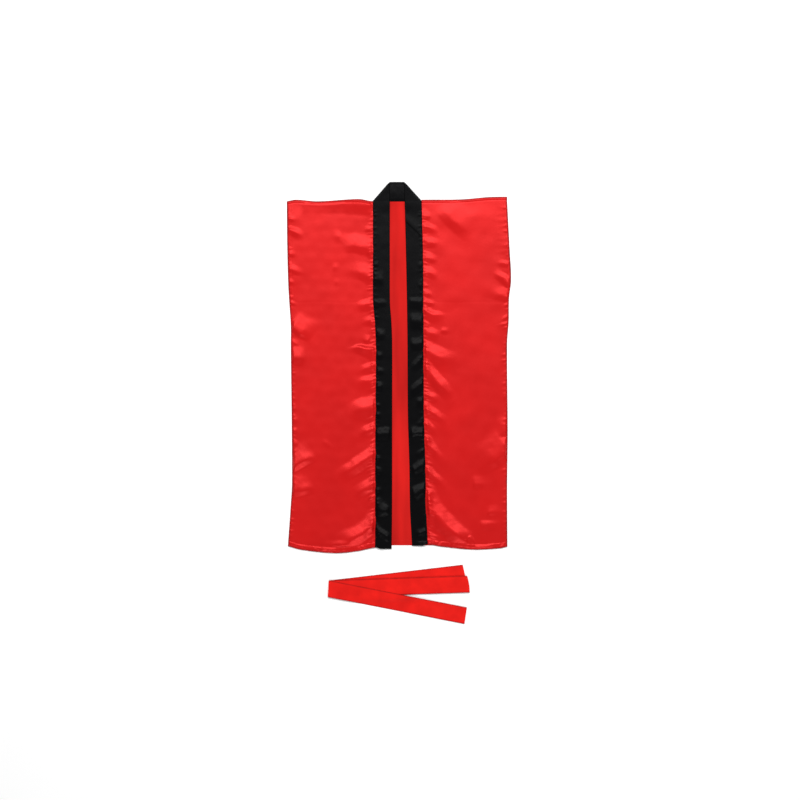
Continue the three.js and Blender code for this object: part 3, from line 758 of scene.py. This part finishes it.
def beltStrip(material):
    # followed from its under end, ply by ply; each row is a line across it, its height and its lean
    t = np.concatenate([[0, 0.012, 0.035], np.linspace(0.08, 0.92, 18), [0.965, 0.988, 1]])
    wall = belt["wall"]
    layer = belt["layer"]
    half = np.maximum(wall * np.sqrt(1 - np.abs(2 * t - 1) ** 14), 0.22) / 2
    edges = {name: np.array(corners) for name, corners in belt["edges"].items()}
    rows = []

    def lineAcross(edge):
        return edge[0] + (edge[1] - edge[0]) * t[:, None]

    def pushed(edge, by, corner=0):
        return edge + np.array([[by - corner, 0], [by, 0]])

    def middleLow(x):
        # the lower edge of the middle stretch
        a, b = edges["turn"][1], edges["middleEnd"][1]
        return mix(a[1], b[1], (x - a[0]) / (b[0] - a[0]))

    def plyRows(start, finish, ply, seed, steps=150):
        for share in np.linspace(0, 1, steps):
            line = lineAcross(mix(start, finish, share))
            x, y = line[:, 0], line[:, 1]
            height = np.full(len(t), ply * layer + wall / 2)
            if ply == 3:
                wave = 0.9 * (1 + wander(x, y * 0.3, 95, seed))
                height = wall / 2 + 3 * layer * (1 - ease((y - middleLow(x) - 8) / 16))
                height = height + ease((x - 10) / 60) * wave * ease(share / 0.1)
            elif ply == 2:
                wave = 0.35 * (1 + wander(x, y * 0.4, 80, seed))
                height = height + wave * ease((x - 30) / 60) * ease(1 - share + 0.2)
            rows.append((line, height, 0 * t, 0 * t + (-1) ** ply))

    def turnRows(edge, outward, ply, bulge=0.0):
        # half a turn, up onto the next ply
        radius = layer / 2
        for angle in np.linspace(0, math.pi, 11)[1:-1]:
            line = lineAcross(edge)
            line[:, 0] += outward * radius * math.sin(angle) + bulge * np.sin(math.pi * t) ** 0.8
            height = ply * layer + wall / 2 + radius - radius * math.cos(angle)
            lean = -outward * math.sin(angle) * (-1) ** ply
            up = math.cos(angle) * (-1) ** ply
            rows.append((line, 0 * t + height, 0 * t + lean, 0 * t + up))

    firstTurn = pushed(edges["turn"], 1.0)
    middleTurn = pushed(edges["middleEnd"], -1.2, belt["cornerRounding"])
    plyRows(edges["underEnd"], firstTurn, 0, 61)
    turnRows(firstTurn, -1, 0)
    plyRows(firstTurn, middleTurn, 1, 62, 90)
    turnRows(middleTurn, 1, 1, belt["bulge"])
    plyRows(middleTurn, firstTurn, 2, 63)
    turnRows(firstTurn, -1, 2)
    plyRows(firstTurn, edges["topEnd"], 3, 64)

    place, height, lean, up = (np.stack(column) for column in zip(*rows))
    middle = toWorld(place[..., 0], place[..., 1], height)
    offset = np.stack([lean, 0 * lean, up], axis=-1) * (half * mm)[None, :, None]
    # a mask of painted shade, darker towards the belt's edges, a little uneven
    edge = belt["width"] / mm * np.minimum(t, 1 - t)
    uneven = 0.8 + 0.2 * wander(place[..., 0], place[..., 1], 40, 66)
    rim = clamp((1 - ease(edge / belt["rim"]))[None, :] * uneven)
    return ribbonShell("belt_strip", middle, offset, material, rim)


def addNode(tree, kind, settings, values):
    # a value is a number, a colour, a vector or a socket to link
    node = tree.nodes.new(kind)
    for name, value in settings.items():
        setattr(node, name, value)
    for name, value in values.items():
        if isinstance(value, bpy.types.NodeSocket):
            tree.links.new(value, node.inputs[name])
        else:
            node.inputs[name].default_value = value
    return node


class Field:
    # a socket that can be used in sums
    def __init__(self, shader, socket):
        self.shader = shader
        self.socket = socket

    def maths(self, operation, first, second):
        return self.shader.field("ShaderNodeMath", {"operation": operation}, {0: first, 1: second})

    def __add__(self, other):
        return self.maths("ADD", self, other)

    __radd__ = __add__

    def __sub__(self, other):
        return self.maths("SUBTRACT", self, other)

    def __rsub__(self, other):
        return self.maths("SUBTRACT", other, self)

    def __mul__(self, other):
        return self.maths("MULTIPLY", self, other)

    __rmul__ = __mul__


class Finish:
    def __init__(self, name, settings):
        self.material = bpy.data.materials.new(name)
        self.material.use_nodes = True
        self.tree = self.material.node_tree
        self.tree.nodes.clear()
        self.surface = self.add("ShaderNodeBsdfPrincipled", {}, settings)
        out = self.add("ShaderNodeOutputMaterial", {}, {})
        self.tree.links.new(self.surface.outputs["BSDF"], out.inputs["Surface"])
        place = self.add("ShaderNodeTexCoord", {}, {})
        self.place = Field(self, place.outputs["Object"])

    def add(self, kind, settings, values):
        values = {name: getattr(value, "socket", value) for name, value in values.items()}
        return addNode(self.tree, kind, settings, values)

    def field(self, kind, settings, values, output=0):
        return Field(self, self.add(kind, settings, values).outputs[output])

    def feed(self, socket, value):
        self.tree.links.new(value.socket, self.surface.inputs[socket])

    def stretched(self, scale):
        return self.field("ShaderNodeMapping", {}, {"Vector": self.place, "Scale": scale})

    def noise(self, scale, detail=3.0, where=None):
        values = {"Vector": where or self.place, "Scale": scale, "Detail": detail}
        return self.field("ShaderNodeTexNoise", {}, values)

    def wave(self, period, direction):
        # bands this many metres apart
        settings = {"wave_type": "BANDS", "bands_direction": direction}
        values = {"Vector": self.place, "Scale": math.tau / (20 * period)}
        return self.field("ShaderNodeTexWave", settings, values)

    def weave(self, pitch, crumple, depth):
        # a plain weave over an uneven surface
        threads = self.wave(pitch, "X") * 0.5 + self.wave(pitch, "Y") * 0.5
        self.feed("Normal", self.bump(threads, 0.00003, 0.4, self.bump(self.noise(crumple), depth)))

    def bump(self, height, distance, strength=1.0, under=None):
        values = {"Height": height, "Distance": distance, "Strength": strength}
        if under is not None:
            values["Normal"] = under
        return self.field("ShaderNodeBump", {}, values)

    def tone(self, amount, dark, light):
        # two colours mixed by an amount from 0 to 1
        ends = [c if isinstance(c, Field) else (*c, 1) for c in (dark, light)]
        node = self.add("ShaderNodeMix", {"data_type": "RGBA"}, {"Factor": amount, 6: ends[0], 7: ends[1]})
        return Field(self, node.outputs[2])

    def rim(self):
        # the mask of painted shade along the edges, kept on the mesh
        return self.field("ShaderNodeAttribute", {"attribute_name": "rim"}, {}, "Fac")


redSatin = {
    # dark and light: a random tone of the dye, widened so it also stands in for patches of sheen (painted
    # sheen)
    "dark": (0.52, 0.0040, 0.0040),
    "light": (0.67, 0.0068, 0.0068),
    # the painted shade colour along the edges
    "edge": (0.20, 0.0010, 0.0012),
    "edgeRough": 0.3,
    "roughness": 0.36,
    "metallic": 0.25,
    "gloss": 0.22,
    "thread": 0.00036,  # metres between the floating threads
    "softBump": 0.0004,
    "crinkleBump": 0.00003,
}
blackSatin = {
    "dark": (0.0010, 0.0010, 0.0013),
    "light": (0.0020, 0.0020, 0.0026),
    # the painted shade colour along the edges
    "edge": (0.0002, 0.0002, 0.0003),
    "edgeRough": 0.6,
    "roughness": 0.33,
    "metallic": 0.0,
    "gloss": 0.074,
    "thread": 0.00034,
    "softBump": 0.0010,
    "crinkleBump": 0.00012,
}
wrongSide = {
    # dark and light: the ends of the painted shade and light in the streaks
    "dark": (0.40, 0.0046, 0.0036),
    "light": (0.68, 0.0110, 0.0084),
    "roughness": 0.7,
    "metallic": 0.1,
    "gloss": 0.12,
    "paintedShadeStreaks": (1.0, 0.14, 1.0),  # painted shade and light in streaks drawn out along the coat, standing in for the shading across the opening
    "contrast": 2.4,
    "weave": (0.0004, 60.0, 0.0003),
}
beltCloth = {
    "dark": (0.52, 0.0036, 0.0018),
    "light": (0.94, 0.0124, 0.0074),
    # the painted shade colour along the edges
    "edge": (0.24, 0.0016, 0.0012),
    "roughness": 0.6,
    "metallic": 0.05,
    "gloss": 0.12,
    "weave": (0.0005, 48.0, 0.0005),
}
redThread = (0.62, 0.010, 0.009)
blackThread = (0.012, 0.011, 0.013)


def clothFinish(name, s):
    return Finish(name, {"Roughness": s["roughness"], "Metallic": s["metallic"],
                         "Specular IOR Level": s["gloss"]})


def satinFinish(name, s):
    f = clothFinish(name, s)
    rim = f.rim()
    # a random tone, which on the red also stands in for patches of sheen, mixed towards the painted shade
    # colour along the edges
    f.feed("Base Color", f.tone(rim, f.tone(f.noise(9.0, 2.0), s["dark"], s["light"]), s["edge"]))
    f.feed("Roughness", s["roughness"] - 0.05 + f.noise(35.0) * 0.10 + rim * s["edgeRough"])
    soft = f.bump(f.noise(15.0, 2.0), s["softBump"])
    crinkled = f.bump(f.noise(75.0), s["crinkleBump"], 1.0, soft)
    f.feed("Normal", f.bump(f.wave(s["thread"], "X"), 0.00002, 0.25, crinkled))
    return f.material


def innerFinish(name, s):
    # the wrong side of the satin, duller than its face
    f = clothFinish(name, s)
    # painted shade and light: lengthwise darker and lighter streaks, standing in for the shading across the
    # opening between the bands
    paintedShadeStreaks = f.noise(20.0, 2.0, f.stretched(s["paintedShadeStreaks"])) * s["contrast"] - (s["contrast"] - 1) / 2
    f.feed("Base Color", f.tone(paintedShadeStreaks, s["dark"], s["light"]))
    f.feed("Roughness", s["roughness"] - 0.06 + f.noise(40.0) * 0.12)
    f.weave(*s["weave"])
    return f.material


def beltFinish(name, s):
    f = clothFinish(name, s)
    # a mottled tone, mixed towards the painted shade colour along the edges
    f.feed("Base Color", f.tone(f.rim(), f.tone(f.noise(22.0), s["dark"], s["light"]), s["edge"]))
    f.feed("Roughness", s["roughness"] - 0.06 + f.noise(50.0) * 0.12)
    f.weave(*s["weave"])
    return f.material


def threadFinish(name, colour):
    f = Finish(name, {"Roughness": 0.5, "Specular IOR Level": 0.3})
    f.feed("Base Color", f.tone(f.noise(900.0, 1.0), tuple(c * 0.85 for c in colour), colour))
    f.feed("Normal", f.bump(f.wave(0.0005, "DIAGONAL"), 0.00005, 0.5))
    return f.material


finishes = {
    "red": satinFinish("red_satin_cloth", redSatin),
    "black": satinFinish("black_satin_cloth", blackSatin),
    "inside": innerFinish("red_satin_wrong_side", wrongSide),
    "belt": beltFinish("belt_red_cloth", beltCloth),
    "redThread": threadFinish("red_sewing_thread", redThread),
    "blackThread": threadFinish("black_sewing_thread", blackThread),
}
print("finishes made")


stitching = {
    "pitch": 3.0 * mm,
    "size": (1.15 * mm, 0.22 * mm, 0.16 * mm),
    "ball": {"Segments": 6, "Rings": 4, "Radius": 1.0},
    "uneven": {"Min": 0.85, "Max": 1.1},
}


def stitchTree():
    # a row of short stitches along a line of edges
    tree = bpy.data.node_groups.new("stitch_row", "GeometryNodeTree")
    inputs = {}
    for name, kind in (("Geometry", "Geometry"), ("Pitch", "Float"), ("Stitch Size", "Vector"),
                       ("Seed", "Int"), ("Thread", "Material")):
        inputs[name] = tree.interface.new_socket(name, in_out="INPUT", socket_type="NodeSocket" + kind)
    tree.interface.new_socket("Geometry", in_out="OUTPUT", socket_type="NodeSocketGeometry")

    def add(kind, settings, values):
        return addNode(tree, kind, settings, values)

    given = add("NodeGroupInput", {}, {})
    line = add("GeometryNodeMeshToCurve", {}, {"Mesh": given.outputs["Geometry"]})
    spots = add("GeometryNodeCurveToPoints", {"mode": "LENGTH"},
                {"Curve": line.outputs["Curve"], "Length": given.outputs["Pitch"]})
    grain = add("GeometryNodeMeshUVSphere", {}, stitching["ball"])
    turned = add("FunctionNodeAlignRotationToVector", {"axis": "X"}, {"Vector": spots.outputs["Tangent"]})
    uneven = add("FunctionNodeRandomValue", {"data_type": "FLOAT"},
                 {**stitching["uneven"], "Seed": given.outputs["Seed"]})
    sized = add("ShaderNodeVectorMath", {"operation": "SCALE"},
                {"Vector": given.outputs["Stitch Size"], "Scale": uneven.outputs["Value"]})
    placed = add("GeometryNodeInstanceOnPoints", {}, {
        "Points": spots.outputs["Points"],
        "Instance": grain.outputs["Mesh"],
        "Rotation": turned.outputs["Rotation"],
        "Scale": sized.outputs["Vector"],
    })
    real = add("GeometryNodeRealizeInstances", {}, {"Geometry": placed.outputs["Instances"]})
    dyed = add("GeometryNodeSetMaterial", {},
               {"Geometry": real.outputs["Geometry"], "Material": given.outputs["Thread"]})
    add("NodeGroupOutput", {}, {"Geometry": dyed.outputs["Geometry"]})
    return tree, {name: socket.identifier for name, socket in inputs.items()}


stitchNodes, stitchInputs = stitchTree()


def stitchRows(name, rows, thread, seed):
    # rows is a list of lines of points that lie on the cloth
    points = np.concatenate(rows)
    edges = []
    start = 0
    for row in rows:
        edges += [(start + i, start + i + 1) for i in range(len(row) - 1)]
        start += len(row)
    guide = bpy.data.meshes.new(name + "_guide")
    guide.from_pydata(points.tolist(), edges, [])
    holder = linked(name + "_guide", guide)
    modifier = holder.modifiers.new("stitches", "NODES")
    modifier.node_group = stitchNodes
    modifier[stitchInputs["Pitch"]] = stitching["pitch"]
    modifier[stitchInputs["Stitch Size"]] = stitching["size"]
    modifier[stitchInputs["Seed"]] = seed
    modifier[stitchInputs["Thread"]] = thread
    holder.update_tag()
    shown = holder.evaluated_get(bpy.context.evaluated_depsgraph_get())
    mesh = bpy.data.meshes.new_from_object(shown)
    mesh.name = name
    bpy.data.objects.remove(holder)
    mesh.shade_smooth()
    return linked(name, mesh)


def gridLine(values, wanted, grid, axis):
    # the points of a grid where a field of values passes the wanted one, along rows or columns
    v = values if axis == 1 else values.T
    g = grid if axis == 1 else grid.transpose(1, 0, 2)
    line = []
    for row in range(v.shape[0]):
        gap = v[row] - wanted
        crossing = np.nonzero(gap[:-1] * gap[1:] <= 0)[0]
        if len(crossing):
            k = crossing[-1]
            share = gap[k] / (gap[k] - gap[k + 1] + 1e-12)
            line.append(mix(g[row, k], g[row, k + 1], share))
    return np.array(line)


frontPieces = {}
frontGrids = {}
for side in sides:
    frontPieces[side], frontGrids[side] = frontPanel(side, finishes["red"])
print("fronts made")

backPiece, backGrid = backPanel(finishes["red"], finishes["inside"])
print("back made")

collarPieces = {}
collarGrids = {}
for side, seed in (("right", 41), ("left", 47)):
    collarPieces[side], collarGrids[side] = collarFront(side, seed, finishes["black"])
neckPiece = collarNeck(53, finishes["black"])
print("collar made")

beltPiece = beltStrip(finishes["belt"])
print("belt made")

seams = {}
for side in sides:
    across, down, over = frontGrids[side]
    fromHem = hemDown(sign[side] * across) - down
    fromSide = sideEdge(side, down) - across
    clear = across[0] > seamEdge(side, 0) + 2
    hemLine = gridLine(fromHem[:, clear], coat["hem"], over[:, clear], 0)
    openRows = (down[:, -1] > 10) & (down[:, -1] < coat["armhole"])
    sideLine = gridLine(fromSide[openRows], coat["sideHem"], over[openRows], 1)
    lines = [hemLine, sideLine]
    seams[side] = stitchRows(f"front_{side}_stitches", lines, finishes["redThread"], 71 + len(side))

across, down, over = backGrid
inOpening = (across[-1] > -foldEdge("right", 960) + 1) & (across[-1] < foldEdge("left", 960) - 1)
backLine = gridLine((coat["backHem"] - down)[:, inOpening], coat["hem"], over[:, inOpening], 0)
backSeam = stitchRows("back_stitches", [backLine], finishes["redThread"], 83)

collarSeams = {}
for side in sides:
    across, downs, middle = collarGrids[side]
    topPoints = 28  # the points of a band's section that can be near the stitches
    line = []
    for row in range(len(downs)):
        if downs[row] > 6:
            u = across[row, 0] - across[row, :topPoints]
            share = np.interp(band["stitch"], u, np.arange(topPoints))
            k = int(share)
            spot = mix(middle[row, k], middle[row, k + 1], share - k)
            line.append(spot + np.array([0, 0, band["ply"] / 2 * mm]))
    lines = [np.array(line)]
    collarSeams[side] = stitchRows(f"collar_{side}_stitches", lines, finishes["blackThread"], 91 + len(side))
print("stitches made")

slots = {
    "red_satin": (*frontPieces.values(), *seams.values(), backPiece, backSeam),
    "black_satin": (*collarPieces.values(), *collarSeams.values(), neckPiece),
    "belt_cloth": (beltPiece,),
}
for slot, pieces in slots.items():
    for piece in pieces:
        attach(piece, "root")
for side in sides:
    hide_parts("front_" + side)
    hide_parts("collar_" + side)
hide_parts("back_panel")
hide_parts("collar_neck")
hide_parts("belt_under", "belt_middle", "belt_top")

studio = {
    "view": 2.24,       # metres across the picture
    "distance": 9.0,
    "aim": (0.003, 0.0085),  # the picture's middle
    "sensor": 36.0,
    "world": 0.34,
    "floor": 0.98,
    "floorHalf": 30.0,
    "key": {"place": (0.05, 1.82, 3.0), "size": (5.0, 1.8), "power": 139.0, "target": (0, 0.1, 0)},
    "fill": {"place": (0.6, -4.2, 3.2), "size": (4.0, 1.6), "power": 92.0, "target": (0, 0, 0)},
}


def areaLight(name, place, size, power, target):
    data = bpy.data.lights.new(name, "AREA")
    data.shape = "RECTANGLE"
    data.size, data.size_y = size
    data.energy = power
    lamp = linked(name, data)
    lamp.location = place
    lamp.rotation_mode = "QUATERNION"
    lamp.rotation_quaternion = (Vector(target) - Vector(place)).to_track_quat("-Z", "Y")


def makeStudio():
    s = studio
    areaLight("key_softbox", **s["key"])
    areaLight("fill_softbox", **s["fill"])
    world = bpy.data.worlds.new("studio_air")
    world.use_nodes = True
    air = world.node_tree.nodes["Background"]
    air.inputs["Color"].default_value = (1, 1, 1, 1)
    air.inputs["Strength"].default_value = s["world"]
    bpy.context.scene.world = world

    half = s["floorHalf"]
    corners = np.array([(-half, -half, 0), (half, -half, 0), (half, half, 0), (-half, half, 0)])
    f = Finish("studio_floor", {"Roughness": 0.9, "Specular IOR Level": 0.1})
    f.feed("Base Color", f.tone(f.noise(1.5, 2.0), (s["floor"],) * 3, (s["floor"] + 0.01,) * 3))
    meshObject("studio_floor", corners, np.array([[0, 1, 2, 3]]), [f.material])

    lens = bpy.data.cameras.new("camera")
    lens.type = "PERSP"
    lens.sensor_width = s["sensor"]
    lens.lens = s["sensor"] * s["distance"] / s["view"]
    lens.clip_end = 100
    camera = linked("camera", lens)
    camera.location = (*s["aim"], s["distance"])
    bpy.context.scene.camera = camera
    bpy.context.scene.view_settings.view_transform = "Standard"
    bpy.context.scene.view_settings.look = "None"


makeStudio()
print("studio made")
